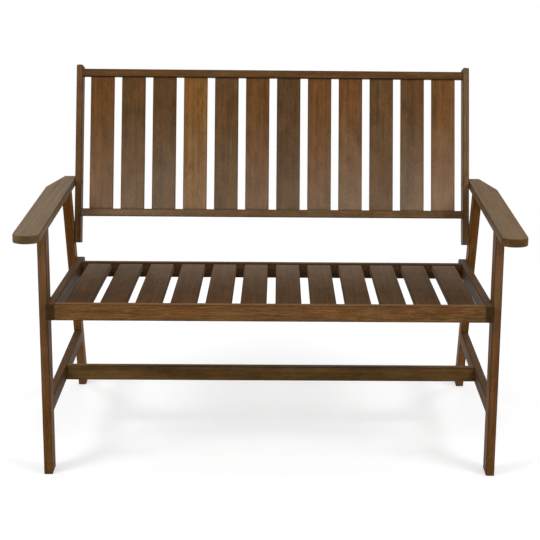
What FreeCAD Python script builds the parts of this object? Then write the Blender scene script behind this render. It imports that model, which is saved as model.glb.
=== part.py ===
"""Two-seat slatted garden bench in hardwood, in millimetres.

X runs along the seat, Y from front to back, Z up from the ground. Pieces are drawn from the
front face of the front legs and moved, when they are saved, so that the origin is on the
ground under the middle of the bench.
"""

import FreeCAD
import Part

import math
import os

# Side frames
frame_width = 1110.0            # over the outer faces of the two side frames
leg_thickness = 21.0
front_leg_depth = 50.0
rear_leg_depth = 43.0           # square to the leg
rear_leg_lean = 19.8            # degrees, foot to the rear
foot_spread = 620.0             # front leg's front face to rear foot's front edge

# Armrests
arm_top_height = 632.0
arm_thickness = 20.0
arm_side_overhang = 42.5        # outboard of the side frame
arm_front_overhang = 83.0       # in front of the front leg, at the corners
arm_nose = 15.0                 # how far the front end bows out between its corners
arm_nose_radius = 22.0
arm_rear_width = 33.0
arm_rear_radius = 4.0
arm_taper_length = 132.0        # of the slanted cut, along the armrest
arm_taper_blend = 60.0          # radius between the outer edge and the slanted cut
arm_past_bolt = 19.0

# Stretchers
stretcher_top_height = 186.0
stretcher_height = 38.0
side_stretcher_thickness = 20.0
long_stretcher_thickness = 20.0
long_stretcher_setback = 264.0  # its front face from the front legs' front face

# Seat
seat_height = 446.0             # top of the rails at the front
seat_slope = 3.5                # degrees, down to the rear
seat_front_overhang = 26.0
seat_rail_height = 39.5
seat_end_rail_thickness = 22.0  # front and rear rail
seat_side_rail_thickness = 20.0
side_rail_end_radius = 13.0
side_rail_end_inset = 2.0       # short of the rear leg's rear face
rear_rail_inset = 62.0          # behind the rear rail, to the side rails' rear ends
seat_slat_count = 12
seat_slat_width = 63.0
seat_slat_thickness = 14.0
seat_slat_drop = 3.0            # below the top of the rails
seat_slat_end_gap = 19.5

# Back
back_lean = 16.4                # degrees, top to the rear
stile_length = 483.0
stile_depth = 44.0
stile_thickness = 17.0
stile_end_radius = 4.0
stile_above_seat = 54.0         # lower end above the top of the side rail
stile_setback = 7.5             # behind the rear leg's front face, at its lower end
stile_horn = 11.5               # above the top rail
back_rail_height = 20.5
back_rail_thickness = 22.0
bottom_rail_lift = 71.5         # above the stile's lower end
back_slat_count = 12
back_slat_width = 64.0
back_slat_thickness = 12.0
back_slat_recess = 6.0          # behind the front face of the rails
back_slat_end_gap = 21.5

# Joints
tenon_length = 8.0
tenon_thickness = 7.0
tenon_shoulder = 6.0            # either side of a slat's tenon
tenon_clearance = 0.2
dowel_diameter = 8.0
dowel_length = 30.0
dowel_spacing = 18.0
thin_dowel_diameter = 6.0
thin_dowel_length = 22.0
thin_dowel_spacing = 11.0
dowel_clearance = 0.1
dowel_end_clearance = 0.8
bolt_diameter = 6.0
bolt_hole_clearance = 0.5
bolt_head_diameter = 14.0
bolt_head_height = 2.2
bolt_socket_width = 4.0
bolt_socket_depth = 1.6
insert_diameter = 10.0
insert_length = 13.0
insert_clearance = 0.1
thread_clearance = 0.1
barrel_diameter = 10.0
barrel_length = 16.0
barrel_setback = 30.0           # from the end of the long stretcher
barrel_slot_width = 1.4
barrel_slot_depth = 1.5
bolt_end_clearance = 1.0
back_bolt_rise = 17.0           # above the stile's lower end

# Finish
edge_radius = 2.0
end_radius = 1.5

X = FreeCAD.Vector(1, 0, 0)
Y = FreeCAD.Vector(0, 1, 0)
Z = FreeCAD.Vector(0, 0, 1)
ORIGIN = FreeCAD.Vector(0, 0, 0)

# Places that several pieces share
outer_x = frame_width / 2
inner_x = outer_x - leg_thickness
arm_under_height = arm_top_height - arm_thickness
lean_run = math.tan(math.radians(rear_leg_lean))
rear_leg_run = rear_leg_depth / math.cos(math.radians(rear_leg_lean))
back_run = math.tan(math.radians(back_lean))
stile_run = stile_depth / math.cos(math.radians(back_lean))
slope_run = math.tan(math.radians(seat_slope))
rail_mid_drop = seat_rail_height / 2 / math.cos(math.radians(seat_slope))
stretcher_mid_height = stretcher_top_height - stretcher_height / 2


def rear_leg_front(height):
    """Y of the rear leg's front face at a height."""
    return foot_spread - height * lean_run


def seat_top(y):
    """Height of the top of the seat rails at a place from front to back."""
    return seat_height - (y + seat_front_overhang) * slope_run


# Where the side rail crosses the middle of the rear leg
rear_bolt_y = (
    foot_spread + rear_leg_run / 2 - (seat_height - seat_front_overhang * slope_run - rail_mid_drop) * lean_run
) / (1 - slope_run * lean_run)
rear_bolt_z = seat_top(rear_bolt_y) - rail_mid_drop
front_bolt_y = front_leg_depth / 2
front_bolt_z = seat_top(front_bolt_y) - rail_mid_drop

# Lengths along the slope of the seat, from its front
side_rail_length = (
    rear_bolt_y + rear_leg_run / 2 - side_rail_end_inset + seat_front_overhang
) / math.cos(math.radians(seat_slope))
rear_rail_front = side_rail_length - rear_rail_inset - seat_end_rail_thickness

# The stile's lower front corner
stile_foot_z = seat_top(rear_bolt_y) + stile_above_seat
stile_foot_y = rear_leg_front(stile_foot_z) + stile_setback


def stile_front(height):
    """Y of the stile's front face at a height."""
    return stile_foot_y + (height - stile_foot_z) * back_run


arm_mid_height = arm_top_height - arm_thickness / 2
arm_bolt_y = stile_front(arm_mid_height) + stile_run / 2
arm_rear_y = arm_bolt_y + arm_past_bolt
arm_outer_x = outer_x + arm_side_overhang

# Where the stile is bolted to the rear leg, in the middle of their overlap
back_bolt_z = stile_foot_z + back_bolt_rise
back_bolt_y = (stile_front(back_bolt_z) + rear_leg_front(back_bolt_z) + rear_leg_run) / 2

# Depth of the bench
stile_top_rear_y = (
    stile_foot_y
    + stile_length * math.sin(math.radians(back_lean))
    + stile_depth * math.cos(math.radians(back_lean))
)
front_y = -arm_front_overhang - arm_nose
rear_y = max(foot_spread + rear_leg_run, stile_top_rear_y)
middle_y = (front_y + rear_y) / 2


def rounded(solid, radius, wanted):
    """The solid with its edges that pass a test rounded."""
    edges = [edge for edge in solid.Edges if wanted(edge)]
    return solid.makeFillet(radius, edges)


def runs_along(edge, direction):
    """Whether a straight edge runs along a direction."""
    ends = edge.Vertexes
    if len(ends) != 2:
        return False
    span = ends[1].Point - ends[0].Point
    return span.Length > 0 and abs(span.dot(direction)) > 0.999 * span.Length * direction.Length


def board(size_x, size_y, size_z, corner, grain):
    """A board with its long edges rounded, from its lowest corner and the way its grain runs."""
    solid = Part.makeBox(size_x, size_y, size_z, corner)
    thinnest = min(size_x, size_y, size_z)
    radius = min(edge_radius, thinnest / 4)
    return rounded(solid, radius, lambda edge: runs_along(edge, grain))


def side_profile(points, thickness):
    """A board standing in a side frame, from its outline in Y and Z, against the inner face."""
    corners = [FreeCAD.Vector(inner_x, y, z) for y, z in points]
    face = Part.Face(Part.makePolygon(corners + corners[:1]))
    return face.extrude(X * thickness)


def rod(diameter, length, start, direction):
    return Part.makeCylinder(diameter / 2, length, start, direction)


def dowel(diameter, length, middle, direction):
    """A wooden dowel with bevelled ends."""
    pin = rod(diameter, length, middle - direction * (length / 2), direction)
    return pin.makeChamfer(diameter / 10, [edge for edge in pin.Edges if len(edge.Vertexes) == 1])


def dowel_hole(diameter, length, middle, direction):
    depth = length + 2 * dowel_end_clearance
    return rod(diameter + 2 * dowel_clearance, depth, middle - direction * (depth / 2), direction)


def bolt(length, seat, direction):
    """A flat-headed connector bolt with a hexagon socket, its head's underside on the seat."""
    shank = rod(bolt_diameter, length, seat, direction)
    head = rod(bolt_head_diameter, bolt_head_height, seat - direction * bolt_head_height, direction)
    rim = [e for e in head.Edges if len(e.Vertexes) == 1 and (e.CenterOfMass - seat).Length > bolt_head_height / 2]
    head = head.makeFillet(bolt_head_height / 2.5, rim)
    radius = bolt_socket_width / math.sqrt(3)
    side = Y if abs(direction.x) > 0.5 else X
    other = direction.cross(side)
    top = seat - direction * bolt_head_height
    corners = []
    for turn in range(6):
        angle = math.radians(60 * turn)
        corners.append(top + side * (radius * math.cos(angle)) + other * (radius * math.sin(angle)))
    socket = Part.Face(Part.makePolygon(corners + corners[:1])).extrude(direction * bolt_socket_depth)
    return shank.fuse(head).cut(socket).removeSplitter()


def bolt_hole(length, start, direction):
    return rod(bolt_diameter + 2 * bolt_hole_clearance, length, start, direction)


def threaded_bore(length, start, direction):
    """A bore that the bolt fits closely, for its thread."""
    return rod(bolt_diameter + 2 * thread_clearance, length, start, direction)


def insert_nut(start, direction):
    """A threaded sleeve let into the wood, flush with its surface."""
    sleeve = rod(insert_diameter, insert_length, start, direction)
    return sleeve.cut(threaded_bore(insert_length, start, direction))


def insert_hole(start, direction):
    """The blind hole for a threaded sleeve and the bolt's end beyond it."""
    wide = rod(insert_diameter + 2 * insert_clearance, insert_length, start, direction)
    deep = bolt_hole(insert_length + 2 * bolt_end_clearance, start, direction)
    return wide.fuse(deep)


def mirrored(shape):
    return shape.mirror(ORIGIN, X)


def tilted(shape, angle, y, z):
    """A shape drawn level, leaned back by an angle and moved to its place."""
    moved = shape.copy()
    moved.rotate(ORIGIN, X, -angle)
    moved.translate(FreeCAD.Vector(0, y, z))
    return moved


def in_seat(shape):
    return tilted(shape, seat_slope, -seat_front_overhang, seat_height)


def in_back(shape):
    return tilted(shape, back_lean, stile_foot_y, stile_foot_z)


def save(name, shape):
    """Writes one piece, or one group of like fasteners, moved so that the bench is centred."""
    placed = shape.copy()
    placed.translate(FreeCAD.Vector(0, -middle_y, 0))
    placed.exportStep("parts/" + name + ".step")


def save_pair(name, right_piece):
    save(name + "_right", right_piece)
    save(name + "_left", mirrored(right_piece))


def save_both_sides(name, right_pieces):
    """Writes like fasteners of the right and left side as one group."""
    save(name, Part.makeCompound(right_pieces + [mirrored(piece) for piece in right_pieces]))


def slat_places(inner_half, count, width, end_gap):
    """X of each slat's middle, spread evenly between the two end gaps."""
    first = -inner_half + end_gap + width / 2
    step = -2 * first / (count - 1)
    return [first + step * number for number in range(count)]


# Dowels and bolts, by their place on the right side
side_stretcher_x = inner_x + side_stretcher_thickness / 2
leg_mid_x = inner_x + leg_thickness / 2
pair_offsets = (-dowel_spacing / 2, dowel_spacing / 2)


def stretcher_dowel_places():
    """Middles of the dowels between a side stretcher and its two legs."""
    places = []
    for offset in pair_offsets:
        z = stretcher_mid_height + offset
        places.append(FreeCAD.Vector(side_stretcher_x, front_leg_depth, z))
        places.append(FreeCAD.Vector(side_stretcher_x, rear_leg_front(z), z))
    return places


def arm_dowel_places():
    """Middles of the dowels that stand in the legs' tops and reach into the armrest."""
    rear_leg_mid = rear_leg_front(arm_under_height) + rear_leg_run / 2
    in_arm = arm_thickness * 0.6
    z = arm_under_height + in_arm - dowel_length / 2
    places = []
    for offset in pair_offsets:
        places.append(FreeCAD.Vector(leg_mid_x, front_leg_depth / 2 + offset, z))
        places.append(FreeCAD.Vector(leg_mid_x, rear_leg_mid + offset, z))
    return places


stretcher_dowel_middles = stretcher_dowel_places()
arm_dowel_middles = arm_dowel_places()
stretcher_dowel_holes = [dowel_hole(dowel_diameter, dowel_length, p, Y) for p in stretcher_dowel_middles]
arm_dowel_holes = [dowel_hole(dowel_diameter, dowel_length, p, Z) for p in arm_dowel_middles]

seat_bolt_places = [
    FreeCAD.Vector(outer_x, front_bolt_y, front_bolt_z),
    FreeCAD.Vector(outer_x, rear_bolt_y, rear_bolt_z),
]
back_bolt_place = FreeCAD.Vector(outer_x, back_bolt_y, back_bolt_z)
arm_bolt_place = FreeCAD.Vector(inner_x - stile_thickness, arm_bolt_y, arm_mid_height)


def at_inner_face(place):
    """The same place on the inner face of the side frame."""
    return FreeCAD.Vector(inner_x, place.y, place.z)


def front_leg():
    leg = board(leg_thickness, front_leg_depth, arm_under_height, FreeCAD.Vector(inner_x, 0, 0), Z)
    leg = rounded(leg, end_radius, lambda edge: edge.BoundBox.ZMax < end_radius)
    leg = leg.cut(bolt_hole(leg_thickness, seat_bolt_places[0], -X))
    return leg.cut(stretcher_dowel_holes + arm_dowel_holes)


def rear_leg():
    top = arm_under_height
    leg = side_profile(
        [
            (rear_leg_front(0), 0),
            (rear_leg_front(0) + rear_leg_run, 0),
            (rear_leg_front(top) + rear_leg_run, top),
            (rear_leg_front(top), top),
        ],
        leg_thickness,
    )
    grain = FreeCAD.Vector(0, -lean_run, 1)
    leg = rounded(leg, edge_radius, lambda edge: runs_along(edge, grain))
    leg = rounded(leg, end_radius, lambda edge: edge.BoundBox.ZMax < end_radius)
    for place in (seat_bolt_places[1], back_bolt_place):
        leg = leg.cut(bolt_hole(leg_thickness, place, -X))
    return leg.cut(stretcher_dowel_holes + arm_dowel_holes)


def armrest():
    """A plank with a bowed front end, its rear outer corner cut at a slant."""
    front = -arm_front_overhang
    taper_start = arm_rear_y - arm_taper_length
    corners = {
        "front_inner": FreeCAD.Vector(inner_x, front, arm_under_height),
        "front_outer": FreeCAD.Vector(arm_outer_x, front, arm_under_height),
        "taper": FreeCAD.Vector(arm_outer_x, taper_start, arm_under_height),
        "rear_outer": FreeCAD.Vector(inner_x + arm_rear_width, arm_rear_y, arm_under_height),
        "rear_inner": FreeCAD.Vector(inner_x, arm_rear_y, arm_under_height),
    }
    nose = FreeCAD.Vector((inner_x + arm_outer_x) / 2, front - arm_nose, arm_under_height)
    edges = [
        Part.Arc(corners["front_inner"], nose, corners["front_outer"]).toShape(),
        Part.makeLine(corners["front_outer"], corners["taper"]),
        Part.makeLine(corners["taper"], corners["rear_outer"]),
        Part.makeLine(corners["rear_outer"], corners["rear_inner"]),
        Part.makeLine(corners["rear_inner"], corners["front_inner"]),
    ]
    plank = Part.Face(Part.Wire(edges)).extrude(Z * arm_thickness)

    def at_corner(name):
        corner = corners[name]
        return lambda edge: runs_along(edge, Z) and (
            math.hypot(edge.CenterOfMass.x - corner.x, edge.CenterOfMass.y - corner.y) < 0.01
        )

    plank = rounded(plank, arm_taper_blend, at_corner("taper"))
    plank = rounded(plank, arm_rear_radius, at_corner("rear_outer"))
    for name in ("front_inner", "front_outer"):
        plank = rounded(plank, arm_nose_radius, at_corner(name))
    plank = rounded(plank, edge_radius, lambda edge: edge.BoundBox.ZLength < 0.01)
    return plank.cut(arm_dowel_holes + [insert_hole(at_inner_face(arm_bolt_place), X)])


# The long stretcher and what holds it
long_mid_y = long_stretcher_setback + long_stretcher_thickness / 2
stretcher_bolt_z = stretcher_mid_height + dowel_spacing / 4
cross_dowel_z = stretcher_mid_height - dowel_spacing / 2
stretcher_bolt_place = FreeCAD.Vector(inner_x + side_stretcher_thickness, long_mid_y, stretcher_bolt_z)
stretcher_bolt_length = side_stretcher_thickness + barrel_setback + barrel_diameter / 2
cross_dowel_middle = FreeCAD.Vector(inner_x, long_mid_y, cross_dowel_z)
cross_dowel_length = dowel_length
cross_dowel_holes = [dowel_hole(dowel_diameter, cross_dowel_length, cross_dowel_middle, X)]


def side_stretcher():
    low = stretcher_top_height - stretcher_height
    high = stretcher_top_height
    rail = side_profile(
        [
            (front_leg_depth, low),
            (rear_leg_front(low), low),
            (rear_leg_front(high), high),
            (front_leg_depth, high),
        ],
        side_stretcher_thickness,
    )
    rail = rounded(rail, edge_radius, lambda edge: runs_along(edge, Y))
    rail = rail.cut(bolt_hole(side_stretcher_thickness, stretcher_bolt_place, -X))
    return rail.cut(stretcher_dowel_holes + cross_dowel_holes)


def long_stretcher():
    rail = board(
        2 * inner_x,
        long_stretcher_thickness,
        stretcher_height,
        FreeCAD.Vector(-inner_x, long_stretcher_setback, stretcher_top_height - stretcher_height),
        X,
    )
    low = stretcher_top_height - stretcher_height
    barrel_top = stretcher_bolt_z + barrel_length / 2 + bolt_end_clearance
    holes = [
        bolt_hole(stretcher_bolt_length + bolt_end_clearance, stretcher_bolt_place, -X),
        rod(
            barrel_diameter + 2 * insert_clearance,
            barrel_top - low,
            FreeCAD.Vector(inner_x - barrel_setback, long_mid_y, low),
            Z,
        ),
    ] + cross_dowel_holes
    return rail.cut(holes + [mirrored(hole) for hole in holes])


def barrel_nut():
    """A cross-drilled steel barrel with a screwdriver slot in its lower end."""
    middle = FreeCAD.Vector(inner_x - barrel_setback, long_mid_y, stretcher_bolt_z)
    barrel = rod(barrel_diameter, barrel_length, middle - Z * (barrel_length / 2), Z)
    bore = threaded_bore(barrel_diameter, middle - X * (barrel_diameter / 2), X)
    slot = Part.makeBox(
        barrel_diameter,
        barrel_slot_width,
        barrel_slot_depth,
        middle - FreeCAD.Vector(barrel_diameter / 2, barrel_slot_width / 2, barrel_length / 2),
    )
    return barrel.cut([bore, slot])


# Seat, drawn level with its top at zero height and its front at zero depth
seat_inner_half = inner_x - seat_side_rail_thickness
seat_slat_xs = slat_places(seat_inner_half, seat_slat_count, seat_slat_width, seat_slat_end_gap)
seat_slat_length = rear_rail_front - seat_end_rail_thickness
seat_slat_mid_z = -seat_slat_drop - seat_slat_thickness / 2
seat_corner_ys = (
    seat_end_rail_thickness / 2,
    rear_rail_front + seat_end_rail_thickness / 2,
)
seat_dowel_middles = [
    FreeCAD.Vector(seat_inner_half, y, -seat_rail_height / 2 + offset)
    for y in seat_corner_ys
    for offset in pair_offsets
]
seat_dowel_length = 2 * (seat_side_rail_thickness * 0.7)
seat_dowel_holes = [dowel_hole(dowel_diameter, seat_dowel_length, p, X) for p in seat_dowel_middles]


def tenon_hole(size_x, size_y, size_z, middle):
    """A mortise a little larger all round than its tenon."""
    wide = [size + 2 * tenon_clearance for size in (size_x, size_y, size_z)]
    return Part.makeBox(*wide, middle - FreeCAD.Vector(wide[0] / 2, wide[1] / 2, wide[2] / 2))


def seat_side_rail():
    """A rail that carries the seat, its rear end rounded over and all its edges eased."""
    rail = Part.makeBox(
        seat_side_rail_thickness,
        side_rail_length,
        seat_rail_height,
        FreeCAD.Vector(seat_inner_half, 0, -seat_rail_height),
    )
    radius = min(side_rail_end_radius, seat_rail_height / 2 - 2 * edge_radius)
    rail = rounded(
        rail,
        radius,
        lambda edge: runs_along(edge, X) and edge.BoundBox.YMin > side_rail_length / 2,
    )
    rail = rounded(
        rail,
        min(edge_radius, seat_side_rail_thickness / 4),
        lambda edge: edge.BoundBox.XLength < 0.01 and edge.BoundBox.YMax > 0.01,
    )
    rail = rounded(rail, end_radius, lambda edge: edge.BoundBox.YMax < 0.01)
    rail = in_seat(rail.cut(seat_dowel_holes))
    return rail.cut([insert_hole(at_inner_face(place), -X) for place in seat_bolt_places])


def seat_end_rail(front_face, slat_side):
    """The front or rear rail, with a mortise for each slat on the side that faces the slats."""
    rail = board(
        2 * seat_inner_half,
        seat_end_rail_thickness,
        seat_rail_height,
        FreeCAD.Vector(-seat_inner_half, front_face, -seat_rail_height),
        X,
    )
    shoulder = front_face + (seat_end_rail_thickness if slat_side > 0 else 0)
    mortises = [
        tenon_hole(
            seat_slat_width - 2 * tenon_shoulder,
            2 * tenon_length,
            tenon_thickness,
            FreeCAD.Vector(x, shoulder, seat_slat_mid_z),
        )
        for x in seat_slat_xs
    ]
    dowel_holes = seat_dowel_holes + [mirrored(hole) for hole in seat_dowel_holes]
    return in_seat(rail.cut(mortises + dowel_holes))


def seat_slat(x):
    slat = board(
        seat_slat_width,
        seat_slat_length,
        seat_slat_thickness,
        FreeCAD.Vector(x - seat_slat_width / 2, seat_end_rail_thickness, -seat_slat_drop - seat_slat_thickness),
        Y,
    )
    tenon_width = seat_slat_width - 2 * tenon_shoulder
    tenons = Part.makeBox(
        tenon_width,
        seat_slat_length + 2 * tenon_length,
        tenon_thickness,
        FreeCAD.Vector(
            x - tenon_width / 2,
            seat_end_rail_thickness - tenon_length,
            seat_slat_mid_z - tenon_thickness / 2,
        ),
    )
    return in_seat(slat.fuse(tenons).removeSplitter())


# Back, drawn upright with its front face at zero depth and the stile's lower end at zero height
back_inner_half = inner_x - stile_thickness
back_slat_xs = slat_places(back_inner_half, back_slat_count, back_slat_width, back_slat_end_gap)
bottom_rail_top = bottom_rail_lift + back_rail_height
top_rail_bottom = stile_length - stile_horn - back_rail_height
back_slat_length = top_rail_bottom - bottom_rail_top
back_slat_mid_y = back_slat_recess + back_slat_thickness / 2
thin_offsets = (-thin_dowel_spacing / 2, thin_dowel_spacing / 2)
back_rail_mids = (bottom_rail_lift + back_rail_height / 2, top_rail_bottom + back_rail_height / 2)
back_dowel_middles = [
    FreeCAD.Vector(back_inner_half, back_rail_thickness / 2 + offset, z)
    for z in back_rail_mids
    for offset in thin_offsets
]
back_dowel_holes = [dowel_hole(thin_dowel_diameter, thin_dowel_length, p, X) for p in back_dowel_middles]


def back_stile():
    stile = Part.makeBox(
        stile_thickness,
        stile_depth,
        stile_length,
        FreeCAD.Vector(back_inner_half, 0, 0),
    )
    radius = min(stile_end_radius, stile_thickness / 3)
    stile = rounded(stile, radius, lambda edge: runs_along(edge, Y))
    radius = min(edge_radius, stile_thickness / 4)
    stile = rounded(stile, radius, lambda edge: edge.BoundBox.YLength < 0.01)
    stile = in_back(stile.cut(back_dowel_holes))
    stile = stile.cut(bolt_hole(stile_thickness, arm_bolt_place, X))
    return stile.cut(insert_hole(at_inner_face(back_bolt_place), -X))


def back_rail(low, slat_side):
    """The top or bottom rail, with a mortise for each slat on the edge that faces the slats."""
    rail = board(
        2 * back_inner_half,
        back_rail_thickness,
        back_rail_height,
        FreeCAD.Vector(-back_inner_half, 0, low),
        X,
    )
    shoulder = low + (back_rail_height if slat_side > 0 else 0)
    mortises = [
        tenon_hole(
            back_slat_width - 2 * tenon_shoulder,
            tenon_thickness,
            2 * tenon_length,
            FreeCAD.Vector(x, back_slat_mid_y, shoulder),
        )
        for x in back_slat_xs
    ]
    dowel_holes = back_dowel_holes + [mirrored(hole) for hole in back_dowel_holes]
    return in_back(rail.cut(mortises + dowel_holes))


def back_slat(x):
    slat = board(
        back_slat_width,
        back_slat_thickness,
        back_slat_length,
        FreeCAD.Vector(x - back_slat_width / 2, back_slat_recess, bottom_rail_top),
        Z,
    )
    tenon_width = back_slat_width - 2 * tenon_shoulder
    tenons = Part.makeBox(
        tenon_width,
        tenon_thickness,
        back_slat_length + 2 * tenon_length,
        FreeCAD.Vector(
            x - tenon_width / 2,
            back_slat_mid_y - tenon_thickness / 2,
            bottom_rail_top - tenon_length,
        ),
    )
    return in_back(slat.fuse(tenons).removeSplitter())


os.makedirs("parts", exist_ok=True)

save_pair("front_leg", front_leg())
save_pair("rear_leg", rear_leg())
save_pair("armrest", armrest())
save_pair("side_stretcher", side_stretcher())
save("long_stretcher", long_stretcher())

save_pair("seat_side_rail", seat_side_rail())
save("seat_front_rail", seat_end_rail(0, 1))
save("seat_rear_rail", seat_end_rail(rear_rail_front, -1))
for number, x in enumerate(seat_slat_xs, 1):
    save("seat_slat_%02d" % number, seat_slat(x))

save_pair("back_stile", back_stile())
save("back_bottom_rail", back_rail(bottom_rail_lift, 1))
save("back_top_rail", back_rail(top_rail_bottom, -1))
for number, x in enumerate(back_slat_xs, 1):
    save("back_slat_%02d" % number, back_slat(x))

save_both_sides(
    "side_frame_dowels",
    [dowel(dowel_diameter, dowel_length, p, Y) for p in stretcher_dowel_middles],
)
save_both_sides(
    "armrest_dowels",
    [dowel(dowel_diameter, dowel_length, p, Z) for p in arm_dowel_middles],
)
save_both_sides(
    "seat_frame_dowels",
    [in_seat(dowel(dowel_diameter, seat_dowel_length, p, X)) for p in seat_dowel_middles],
)
save_both_sides(
    "back_frame_dowels",
    [in_back(dowel(thin_dowel_diameter, thin_dowel_length, p, X)) for p in back_dowel_middles],
)
save_both_sides(
    "long_stretcher_dowels",
    [dowel(dowel_diameter, cross_dowel_length, cross_dowel_middle, X)],
)

sleeve_bolt_reach = insert_length + bolt_end_clearance
save_both_sides(
    "seat_bolts",
    [bolt(leg_thickness + sleeve_bolt_reach, place, -X) for place in seat_bolt_places],
)
save_both_sides(
    "seat_insert_nuts",
    [insert_nut(at_inner_face(place), -X) for place in seat_bolt_places],
)
save_both_sides("back_bolts", [bolt(leg_thickness + sleeve_bolt_reach, back_bolt_place, -X)])
save_both_sides("back_insert_nuts", [insert_nut(at_inner_face(back_bolt_place), -X)])
save_both_sides("armrest_bolts", [bolt(stile_thickness + sleeve_bolt_reach, arm_bolt_place, X)])
save_both_sides("armrest_insert_nuts", [insert_nut(at_inner_face(arm_bolt_place), X)])
save_both_sides("stretcher_bolts", [bolt(stretcher_bolt_length, stretcher_bolt_place, -X)])
save_both_sides("stretcher_barrel_nuts", [barrel_nut()])
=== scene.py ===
import math

import bpy
import bmesh
from mathutils import Matrix, Vector

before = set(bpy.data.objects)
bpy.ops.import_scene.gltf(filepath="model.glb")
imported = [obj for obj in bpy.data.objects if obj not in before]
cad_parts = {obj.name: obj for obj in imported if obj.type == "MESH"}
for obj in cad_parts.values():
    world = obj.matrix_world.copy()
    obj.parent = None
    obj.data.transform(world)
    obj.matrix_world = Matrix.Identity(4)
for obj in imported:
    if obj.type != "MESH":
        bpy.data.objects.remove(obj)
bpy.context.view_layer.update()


# Front legs
# Two upright boards of dark-stained hardwood, planed on four sides, with their arrises eased by
# hand. They carry the armrest on dowels, and the seat is bolted to their inner faces.

# A Mix node has a set of sockets for each kind of data, and these are the ones for colours
MIX_AMOUNT = 0
MIX_FIRST = 6
MIX_SECOND = 7
MIX_RESULT = 2

STREAK_ROUGHNESS = 0.55


class Value:
    """The output of a shader node. Sums and products of such values add Math nodes."""

    def __init__(self, tree, socket):
        self.tree = tree
        self.socket = socket

    def node(self, kind, settings=None, inputs=None, output=0):
        """A new node of a type. Its settings come first, then its sockets' values or links."""
        made = self.tree.nodes.new(kind)
        for name, setting in (settings or {}).items():
            setattr(made, name, setting)
        for name, given in (inputs or {}).items():
            if isinstance(given, Value):
                self.tree.links.new(given.socket, made.inputs[name])
            else:
                made.inputs[name].default_value = given
        return Value(self.tree, made.outputs[output])

    def math(self, operation, first, second):
        return self.node("ShaderNodeMath", {"operation": operation}, {0: first, 1: second})

    def __add__(self, other):
        return self.math("ADD", self, other)

    def __radd__(self, other):
        return self.math("ADD", other, self)

    def __sub__(self, other):
        return self.math("SUBTRACT", self, other)

    def __rsub__(self, other):
        return self.math("SUBTRACT", other, self)

    def __mul__(self, other):
        return self.math("MULTIPLY", self, other)

    def __rmul__(self, other):
        return self.math("MULTIPLY", other, self)

    def larger(self, other):
        return self.math("MAXIMUM", self, other)

    def size(self):
        return self.math("ABSOLUTE", self, 0.0)

    def root(self):
        return self.math("SQRT", self, 0.0)

    def parts(self):
        """The three parts of a vector."""
        split = self.node("ShaderNodeSeparateXYZ", inputs={"Vector": self}).socket.node
        return [Value(self.tree, split.outputs[i]) for i in range(3)]

    def into(self, socket):
        """Links this value to a socket of a shader."""
        self.tree.links.new(self.socket, socket)

    def step(self, start, end):
        """Rises smoothly from 0 at start to 1 at end."""
        settings = {"interpolation_type": "SMOOTHSTEP"}
        inputs = {"Value": self, "From Min": start, "From Max": end}
        return self.node("ShaderNodeMapRange", settings, inputs)

    def vector(self, operation, other):
        """The sum, difference or product of two vectors, part by part."""
        return self.node("ShaderNodeVectorMath", {"operation": operation}, {0: self, 1: other})

    def streaks(self, along, across, detail=2.0):
        """Noise about as long and as wide as these sizes, in metres, stretched along the grain."""
        stretched = self.vector("MULTIPLY", (1 / along, 1 / across, 1 / across))
        settings = {"noise_dimensions": "3D"}
        inputs = {"Vector": stretched, "Scale": 1.0, "Detail": detail}
        inputs["Roughness"] = STREAK_ROUGHNESS
        return self.node("ShaderNodeTexNoise", settings, inputs)

    def blend(self, first, second, amount, kind="MIX"):
        """A colour that goes from the first to the second by an amount."""
        settings = {"data_type": "RGBA", "blend_type": kind}
        inputs = {MIX_AMOUNT: amount, MIX_FIRST: opaque(first), MIX_SECOND: opaque(second)}
        return self.node("ShaderNodeMix", settings, inputs, MIX_RESULT)

    def shaded(self, other, amount):
        """This colour multiplied by another by an amount."""
        return self.blend(self, other, amount, "MULTIPLY")


def opaque(given):
    """A plain colour gets its fourth part, and a Value stays as it is."""
    return given if isinstance(given, Value) or len(given) == 4 else (*given, 1.0)


def new_material(name):
    """A material with its Principled shader, and a Value to start its nodes from."""
    material = bpy.data.materials.new(name)
    material.use_nodes = True
    shader = material.node_tree.nodes["Principled BSDF"]
    return material, shader, Value(material.node_tree, shader.inputs[0])


def colour(red, green, blue):
    """A colour in the scene's linear light, from how it looks on a screen, each part 0 to 255."""
    def linear(part):
        part = part / 255
        return part / 12.92 if part <= 0.04045 else ((part + 0.055) / 1.055) ** 2.4
    return (linear(red), linear(green), linear(blue), 1.0)


class Board:
    """A CAD board measured along its grain, across its face and through its thickness."""

    def __init__(self, node, grain, face):
        self.node = node
        along = Vector(grain).normalized()
        through = Vector(face).normalized()
        across = through.cross(along)
        self.turn = Matrix((along, across, through)).transposed()
        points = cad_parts[node].data.vertices
        turned = [self.turn.transposed() @ point.co for point in points]
        low = Vector([min(point[i] for point in turned) for i in range(3)])
        high = Vector([max(point[i] for point in turned) for i in range(3)])
        self.middle = self.turn @ ((low + high) / 2)
        self.half = (high - low) / 2


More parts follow.
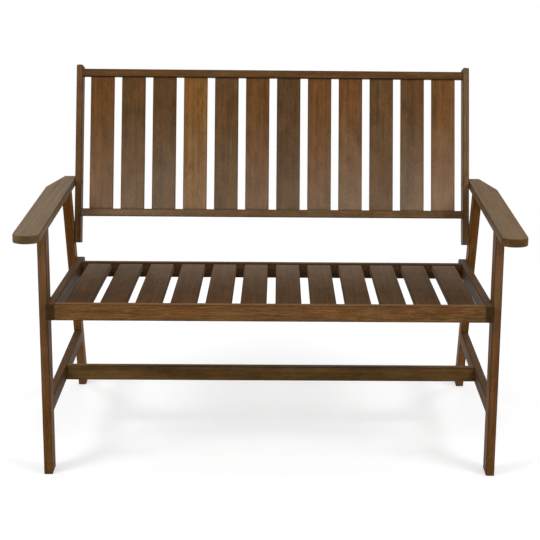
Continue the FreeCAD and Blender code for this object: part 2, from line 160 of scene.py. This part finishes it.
STAINS = {
    "honey": colour(109, 77, 38),
    "amber": colour(98, 68, 37),
    "russet": colour(91, 61, 31),
    "walnut": colour(83, 59, 34),
    "smoke": colour(77, 55, 32),
    "tobacco": colour(94, 67, 39),
    "hazel": colour(90, 61, 31),
    "olive": colour(93, 71, 40),
    "mahogany": colour(103, 67, 27),
    "umber": colour(64, 45, 25),
    "ash": colour(93, 72, 48),
    "sand": colour(98, 77, 53),
    "driftwood": colour(86, 64, 34),
    "pewter": colour(94, 76, 54),
}
PORE = colour(52, 34, 20)
REDDER = colour(255, 240, 224)
GREENER = colour(252, 250, 238)
# Painted sheen: a lighter, greyer colour mixed in towards one end of a board
PAINTED_SHEEN = colour(174, 156, 136)
GOLD = colour(146, 108, 66)
# Painted shade for the rounded arrises
ARRIS_PAINTED_SHADE = colour(136, 124, 112)
STAIN_IN_END_GRAIN = colour(208, 203, 196)
DARKEST = 0.62
LIGHTEST = 1.42
PORE_SHADE = 0.45
RING_WIDTH = 0.003
RINGS_APART = 17.0
PITH_DISTANCE = 0.09
PITH_SPREAD = 0.03
PITH_ASIDE = 0.05
RING_WANDER = 0.008
GRAIN_RUN_ACROSS = 0.012
GRAIN_RUN_THROUGH = 0.015
BOARDS_APART = 3
ARRIS_WIDTH = 0.0024
ARRIS_CORE = ARRIS_WIDTH * 0.4
END_WIDTH = 0.005
SHEEN_START = 0.15
SHEEN_END = 1.1
GRAIN_DEPTH = 0.0003
GRAIN_STRENGTH = 0.3


def stained_wood(
    board, stain, number, gloss=0.05, rough=0.55, hidden_end=0.0, gold=0.0, lively=1.0, painted_sheen=0.0
):
    """Stained and oiled hardwood on one board. Rings, ribbon, fibre and pores run through the
    solid, so that the end grain belongs to the faces. The number, through its sines, gives each
    board wood of its own. Towards the end where its grain starts it gets a painted sheen."""
    material, shader, start = new_material(board.node + "_" + stain)
    place = start.node("ShaderNodeTexCoord", output="Object")
    local = start.node(
        "ShaderNodeMapping",
        {"vector_type": "TEXTURE"},
        {"Vector": place, "Location": board.middle, "Rotation": board.turn.to_euler("XYZ")},
    )
    own_wood = Vector((math.sin(number * 7.3), math.sin(number * 3.1 + 1), math.cos(number * 5.7)))
    wood = local.vector("ADD", own_wood * BOARDS_APART)

    # Growth rings round a pith outside the board, nearly in line with it
    side = math.copysign(1.0, math.sin(number * 2.9))
    pith_away = side * (PITH_DISTANCE + PITH_SPREAD * math.cos(number))
    pith = Vector((0, PITH_ASIDE * math.sin(number * 1.7), pith_away))
    along, across, through = local.vector("SUBTRACT", pith).parts()
    wander = (wood.streaks(0.3, 0.06, 1.0) - 0.5) * RING_WANDER
    across = across + along * (GRAIN_RUN_ACROSS * math.sin(number * 4.1)) + wander
    through = through + along * (GRAIN_RUN_THROUGH * math.cos(number * 2.3))
    radius = (across * across + through * through).root()
    turns = radius * (1 / RING_WIDTH) + number * RINGS_APART
    settings = {"noise_dimensions": "1D"}
    rings = start.node("ShaderNodeTexNoise", settings, {"W": turns, "Scale": 1.0, "Detail": 1.0})

    # The figure on the faces, from the broad ribbon to single pores
    ribbon = wood.streaks(0.3, 0.01, 1.0)
    fibre = wood.streaks(0.032, 0.0022)
    fine = wood.streaks(0.009, 0.0009)
    fleck = wood.streaks(0.008, 0.0035, 3.0)
    cloud = wood.streaks(0.05, 0.03)
    pores = wood.streaks(0.007, 0.0005, 1.0).step(0.6, 0.72)

    figure = (rings - 0.5) * 0.5 + (ribbon - 0.5) * 1.2 + (fibre - 0.5) * 1.2 + (fine - 0.5) * 0.9
    figure = (figure + (fleck - 0.5) * 0.9 + (cloud - 0.5) * 1.0) * lively + 0.5
    mean = Vector(STAINS[stain][:3])
    skin = start.blend(mean * DARKEST, mean * LIGHTEST, figure)
    patches = wood.streaks(0.12, 0.04, 1.0).step(0.35, 0.65)
    skin = skin.shaded(start.blend(GREENER, REDDER, patches), 1.0)
    if gold:
        glints = wood.streaks(0.045, 0.0018).step(0.54, 0.68)
        skin = start.blend(skin, GOLD, glints * gold)
    skin = start.blend(skin, PORE, pores * PORE_SHADE)
    parts = local.parts()
    # Painted sheen, lighter and greyer towards the end where the grain starts
    if painted_sheen:
        to_start = 0.5 - parts[0] * (0.5 / board.half.x) + (cloud - 0.5) * 0.3
        sheen_fibre = 0.3 + fine * 0.7 + fleck * 0.7
        sheen_mask = to_start.step(SHEEN_START, SHEEN_END) * sheen_fibre
        skin = start.blend(skin, PAINTED_SHEEN, sheen_mask * painted_sheen)

    # Painted shade darkens the arrises, where the rounded edges turn from the light, and end grain
    # takes more stain
    inside = [half - part.size() for half, part in zip(board.half, parts)]
    arris_shade = 1 - inside[1].larger(inside[2]).step(ARRIS_CORE, ARRIS_WIDTH)
    end = 1 - (inside[0] - hidden_end).step(0.0, END_WIDTH)
    skin = skin.shaded(ARRIS_PAINTED_SHADE, arris_shade * (0.4 + 0.6 * ribbon))
    skin = skin.shaded(STAIN_IN_END_GRAIN, end * (0.5 + 0.5 * fine))
    skin.into(shader.inputs["Base Color"])

    dullness = rough + 0.1 * (0.5 - figure) + pores * 0.15 + (cloud - 0.5) * 0.12
    dullness.into(shader.inputs["Roughness"])
    height = fibre * 0.5 + fine * 0.4 - pores * 0.8
    inputs = {"Height": height, "Strength": GRAIN_STRENGTH, "Distance": GRAIN_DEPTH}
    start.node("ShaderNodeBump", inputs=inputs).into(shader.inputs["Normal"])
    shader.inputs["Specular IOR Level"].default_value = gloss
    return material


def finish_board(board, material):
    """The board's CAD piece takes its finish."""
    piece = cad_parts[board.node]
    piece.data.materials.clear()
    piece.data.materials.append(material)


UP = (0, 0, 1)
DOWN = (0, 0, -1)
RIGHT = (1, 0, 0)
BACK = (0, 1, 0)
SIDES = ("left", "right")

for number, side in enumerate(SIDES):
    leg = Board("front_leg_" + side, DOWN, RIGHT)
    # A painted sheen lightens their upper ends.
    finish_board(leg, stained_wood(leg, "hazel", 1 + number, painted_sheen=0.07))


# Rear legs
# Boards like the front legs that lean forward from foot to armrest, so that each side frame
# is an A. The stile and the seat's side rail are bolted to their inner faces.
LEG_LEAN = math.radians(19.8)
for number, side in enumerate(SIDES):
    leg = Board("rear_leg_" + side, (0, -math.sin(LEG_LEAN), math.cos(LEG_LEAN)), RIGHT)
    # A painted sheen lightens them towards their feet.
    finish_board(leg, stained_wood(leg, "mahogany", 3 + number, painted_sheen=0.07))


# Side stretchers
# Level rails between front and rear leg, set on dowels with their inner faces flush with the
# legs'. A bolt through each one holds the long stretcher.
for number, side in enumerate(SIDES):
    rail = Board("side_stretcher_" + side, BACK, RIGHT)
    wood = stained_wood(rail, "walnut", 5 + number, gloss=0.04, rough=0.55)
    finish_board(rail, wood)


# Armrests
# Flat planks with a bowed and rounded front end and a slanted rear corner, dowelled on to the
# legs. Their tops are the most handled and weathered faces of the bench.
for number, (side, stain) in enumerate(zip(SIDES, ("pewter", "driftwood"))):
    arm = Board("armrest_" + side, BACK, UP)
    wood = stained_wood(arm, stain, 7 + number, gloss=0.07, rough=0.5, lively=0.65)
    finish_board(arm, wood)


# Long stretcher
# A rail on edge that ties the two side frames together. Bolts through the side stretchers
# draw it up against their inner faces, and a dowel at each end keeps it from turning.
rail = Board("long_stretcher", RIGHT, BACK)
finish_board(rail, stained_wood(rail, "olive", 9))


# Seat side rails
# Boards on edge, bolted to the inner faces of the legs. They carry the seat frame, stand out in
# front of the front legs, and are rounded over at the rear.
SEAT_SLOPE = math.radians(3.5)
SEAT_BACK = (0, math.cos(SEAT_SLOPE), -math.sin(SEAT_SLOPE))
SEAT_FRONT = (0, -math.cos(SEAT_SLOPE), math.sin(SEAT_SLOPE))
SEAT_UP = (0, math.sin(SEAT_SLOPE), math.cos(SEAT_SLOPE))
for number, side in enumerate(SIDES):
    rail = Board("seat_side_rail_" + side, SEAT_BACK, RIGHT)
    wood = stained_wood(rail, "umber", 10 + 8 * number, gloss=0.05, rough=0.55)
    finish_board(rail, wood)


# Seat front and rear rails
# Boards on edge between the side rails, mortised for the slats. The front one shows its
# face, with light streaks along it.
SEAT_RAILS = (("front", "tobacco", 0.45), ("rear", "umber", 0.0))
for number, (name, stain, gold) in enumerate(SEAT_RAILS):
    rail = Board("seat_" + name + "_rail", RIGHT, SEAT_BACK)
    wood = stained_wood(rail, stain, 12 + number, gloss=0.04, rough=0.6, gold=gold)
    finish_board(rail, wood)


# Seat slats
# Twelve thin boards let into the front and rear rail with stub tenons, a little below their tops.
# The gaps between them let rain through, and their rear ends are painted lighter and greyer, a
# painted sheen.
SLAT_COUNT = 12
TENON = 0.008
for number in range(SLAT_COUNT):
    slat = Board("seat_slat_%02d" % (number + 1), SEAT_FRONT, SEAT_UP)
    wood = stained_wood(
        slat, "umber", 20 + number, gloss=0.03, rough=0.65, hidden_end=TENON, lively=0.7, painted_sheen=0.14
    )
    finish_board(slat, wood)


# Back stiles
# The uprights of the back, which lean to the rear and stand a little above the top rail. A bolt
# through the rear leg and another into the armrest's edge hold each of them.
BACK_LEAN = math.radians(16.4)
BACK_UP = (0, math.sin(BACK_LEAN), math.cos(BACK_LEAN))
BACK_DOWN = (0, -math.sin(BACK_LEAN), -math.cos(BACK_LEAN))
BACK_REAR = (0, math.cos(BACK_LEAN), -math.sin(BACK_LEAN))
for number, (side, stain) in enumerate(zip(SIDES, ("walnut", "sand"))):
    stile = Board("back_stile_" + side, BACK_DOWN, RIGHT)
    # A faint painted sheen lightens their tops.
    finish_board(stile, stained_wood(stile, stain, 14 + number, painted_sheen=0.03))


# Back rails
# Narrow rails dowelled between the stiles and mortised for the slats of the back. The lower
# one has a painted sheen, lighter and greyer towards its left end.
BACK_RAILS = (("bottom", "ash", 0.1), ("top", "walnut", 0.0))
for number, (name, stain, painted_sheen) in enumerate(BACK_RAILS):
    rail = Board("back_" + name + "_rail", RIGHT, BACK_REAR)
    finish_board(rail, stained_wood(rail, stain, 16 + number, painted_sheen=painted_sheen))


# Back slats
# Twelve thin boards of mixed tone, as they came from the stack, let into the rails with stub
# tenons like the seat's, a little behind the rails' front faces. Towards their lower ends they take
# a painted sheen, lighter and greyer, stronger on some than on others.
# How strong each slat's painted sheen is
SHEEN_SHARES = {"little": 0.13, "some": 0.19, "much": 0.25}
BACK_SLATS = (
    ("russet", "some"),
    ("walnut", "some"),
    ("smoke", "some"),
    ("honey", "some"),
    ("walnut", "little"),
    ("russet", "some"),
    ("smoke", "little"),
    ("russet", "some"),
    ("russet", "much"),
    ("walnut", "little"),
    ("walnut", "much"),
    ("amber", "much"),
)
for number, (stain, sheen_share) in enumerate(BACK_SLATS):
    slat = Board("back_slat_%02d" % (number + 1), BACK_UP, BACK_REAR)
    wood = stained_wood(
        slat, stain, 40 + number, gloss=0.06, rough=0.35, hidden_end=TENON, painted_sheen=SHEEN_SHARES[sheen_share]
    )
    finish_board(slat, wood)


# Dowels
# Plain turned beech, glued into the joints of the side frames, the seat and the back, and at
# the long stretcher's ends. None of it shows once the bench is together.
def plain_dowel():
    """Pale turned beech, with its short brown flecks."""
    material, shader, start = new_material("beech_dowel")
    place = start.node("ShaderNodeTexCoord", output="Object")
    flecks = place.streaks(0.004, 0.001).step(0.55, 0.7)
    grain = place.streaks(0.02, 0.003)
    skin = start.blend(colour(196, 160, 118), colour(222, 190, 148), grain)
    skin = start.blend(skin, colour(150, 110, 74), flecks * 0.5)
    skin.into(shader.inputs["Base Color"])
    (0.6 + 0.15 * grain).into(shader.inputs["Roughness"])
    return material


beech = plain_dowel()
for name in ("side_frame", "armrest", "seat_frame", "back_frame", "long_stretcher"):
    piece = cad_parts[name + "_dowels"]
    piece.data.materials.clear()
    piece.data.materials.append(beech)


# Bolts
# Flat-headed connector bolts with a hexagon socket, plated a dark bronze. They hold the seat and
# the back to the side frames, the stiles to the armrests, and the long stretcher to the sides.
def bronzed_steel():
    """Steel with a thin dark plating, rubbed brighter in small spots."""
    material, shader, start = new_material("bronzed_steel")
    place = start.node("ShaderNodeTexCoord", output="Object")
    rubbed = place.streaks(0.003, 0.003, 4.0).step(0.45, 0.75)
    skin = start.blend(colour(70, 58, 46), colour(120, 102, 82), rubbed)
    skin.into(shader.inputs["Base Color"])
    (0.42 - 0.14 * rubbed).into(shader.inputs["Roughness"])
    shader.inputs["Metallic"].default_value = 0.9
    return material


bronze = bronzed_steel()
for name in ("seat", "back", "armrest", "stretcher"):
    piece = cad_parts[name + "_bolts"]
    piece.data.materials.clear()
    piece.data.materials.append(bronze)


# Threaded sleeves and barrel nuts
# Turned steel with bright zinc plating, let into the wood for the bolts. A sleeve takes each
# bolt of the seat, back and armrests, and a barrel nut each one of the long stretcher.
def zinc_plate():
    """Bright zinc plating with a faint crystalline mottle."""
    material, shader, start = new_material("zinc_plate")
    place = start.node("ShaderNodeTexCoord", output="Object")
    mottle = place.streaks(0.002, 0.002, 3.0)
    skin = start.blend(colour(150, 150, 146), colour(196, 196, 190), mottle)
    skin.into(shader.inputs["Base Color"])
    (0.3 + 0.2 * mottle).into(shader.inputs["Roughness"])
    shader.inputs["Metallic"].default_value = 1.0
    return material


zinc = zinc_plate()
for name in ("seat_insert", "back_insert", "armrest_insert", "stretcher_barrel"):
    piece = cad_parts[name + "_nuts"]
    piece.data.materials.clear()
    piece.data.materials.append(zinc)


# Floor
# A plain white studio floor that keeps the bench's shadow and fades into a white background.
# It belongs to the picture and not to the bench.
FLOOR_HALF = 30.0
FLOOR_COLOUR = (0.8, 0.8, 0.8, 1)
FLOOR_ROUGHNESS = 0.9
SHADED_SHARE = (0.5, 0.5, 0.5, 1)
GLOW = 0.55
WHITE = (1, 1, 1, 1)
WHITE_FROM = 0.7
WHITE_BY = 2.6


def to_backdrop(start):
    """1 for a ray that comes from the camera, from a mirror-like surface or through glass."""
    seen = start.node("ShaderNodeLightPath", output="Is Camera Ray")
    seen = seen.larger(start.node("ShaderNodeLightPath", output="Is Glossy Ray"))
    return seen.larger(start.node("ShaderNodeLightPath", output="Is Transmission Ray"))


mesh = bpy.data.meshes.new("floor")
shape = bmesh.new()
bmesh.ops.create_grid(shape, x_segments=1, y_segments=1, size=FLOOR_HALF)
shape.to_mesh(mesh)
shape.free()
floor = bpy.data.objects.new("floor", mesh)
bpy.context.scene.collection.objects.link(floor)

paper, shader, start = new_material("studio_floor")
shader.inputs["Base Color"].default_value = FLOOR_COLOUR
shader.inputs["Roughness"].default_value = FLOOR_ROUGHNESS
shader.inputs["Specular IOR Level"].default_value = 0.0
plain = Value(start.tree, shader.outputs[0])
place = start.node("ShaderNodeTexCoord", output="Object")
distance = start.node("ShaderNodeVectorMath", {"operation": "LENGTH"}, {0: place}, "Value")
shaded = start.node("ShaderNodeBsdfDiffuse", inputs={"Color": SHADED_SHARE})
glow = start.node("ShaderNodeEmission", inputs={"Color": WHITE, "Strength": GLOW})
near = start.node("ShaderNodeAddShader", inputs={0: shaded, 1: glow})
white = start.node("ShaderNodeEmission", inputs={"Color": WHITE, "Strength": 1.0})
far = distance.step(WHITE_FROM, WHITE_BY)
shown = start.node("ShaderNodeMixShader", inputs={0: far, 1: near, 2: white})
both = start.node("ShaderNodeMixShader", inputs={0: to_backdrop(start), 1: plain, 2: shown})
both.into(start.tree.nodes["Material Output"].inputs["Surface"])
floor.data.materials.append(paper)


# Light
# Large soft lamps to the left and right above the bench, a low one in front, weaker ones above
# and behind, one at each rear corner, and an even white surround.
def lamp(name, place, target, width, height, power):
    """A rectangular softbox that faces its target."""
    light = bpy.data.lights.new(name, "AREA")
    light.shape = "RECTANGLE"
    light.size = width
    light.size_y = height
    light.energy = power
    holder = bpy.data.objects.new(name, light)
    bpy.context.scene.collection.objects.link(holder)
    holder.location = place
    holder.rotation_euler = (Vector(target) - Vector(place)).to_track_quat("-Z", "Y").to_euler()


lamp("softbox_left", (-2.2, -1.6, 2.5), (-0.2, 0.15, 0.5), 1.2, 1.0, 58)
lamp("softbox_right", (2.2, -1.6, 2.5), (0.2, 0.15, 0.5), 1.2, 1.0, 55)
lamp("softbox_above", (0, -0.3, 3.4), (0, 0.1, 0), 1.8, 1.0, 20)
lamp("softbox_back", (0, 2.4, 3.2), (0, 0.2, 0.4), 2.0, 0.8, 30)
lamp("softbox_front", (0.35, -4.6, 1.67), (0, 0, 0.6), 2.8, 0.72, 42)
lamp("softbox_rear_left", (-3.0, 2.8, 1.5), (0, 0.2, 0.5), 1.2, 1.2, 45)
lamp("softbox_rear_right", (3.0, 2.8, 1.5), (0, 0.2, 0.5), 1.2, 1.2, 45)

SURROUND = 0.12
world = bpy.data.worlds.new("studio")
world.use_nodes = True
bpy.context.scene.world = world
background = world.node_tree.nodes["Background"]
start = Value(world.node_tree, background.outputs[0])
strength = SURROUND + to_backdrop(start) * (1 - SURROUND)
background.inputs["Color"].default_value = WHITE
strength.into(background.inputs["Strength"])


# Camera
# It stands in front of the bench, a little above the back, as the photograph was taken, and
# its shift puts the bench where it stands in that picture. The focal length and the point where
# the lens's axis meets the picture are in pixels of it.
PICTURE = 540
SENSOR = 36.0
FOCAL_LENGTH = 1429.0
LENS_AXIS_ACROSS = 303.28
LENS_AXIS_DOWN = 200.0
CAMERA_PLACE = (0.01521, -3.55804, 1.47759)
CAMERA_TO_RIGHT = 1.04
CAMERA_DOWN = 13.38
CAMERA_ROLL = 0.66
camera_data = bpy.data.cameras.new("camera")
camera_data.sensor_width = SENSOR
camera_data.lens = FOCAL_LENGTH * SENSOR / PICTURE
camera_data.shift_x = (PICTURE / 2 - LENS_AXIS_ACROSS) / PICTURE
camera_data.shift_y = (LENS_AXIS_DOWN - PICTURE / 2) / PICTURE
camera = bpy.data.objects.new("camera", camera_data)
bpy.context.scene.collection.objects.link(camera)
yaw = Matrix.Rotation(math.radians(-CAMERA_TO_RIGHT), 4, "Z")
pitch = Matrix.Rotation(math.radians(90 - CAMERA_DOWN), 4, "X")
roll = Matrix.Rotation(math.radians(CAMERA_ROLL), 4, "Z")
camera.matrix_world = Matrix.Translation(CAMERA_PLACE) @ yaw @ pitch @ roll
bpy.context.scene.camera = camera

bpy.context.scene.view_settings.view_transform = "Standard"
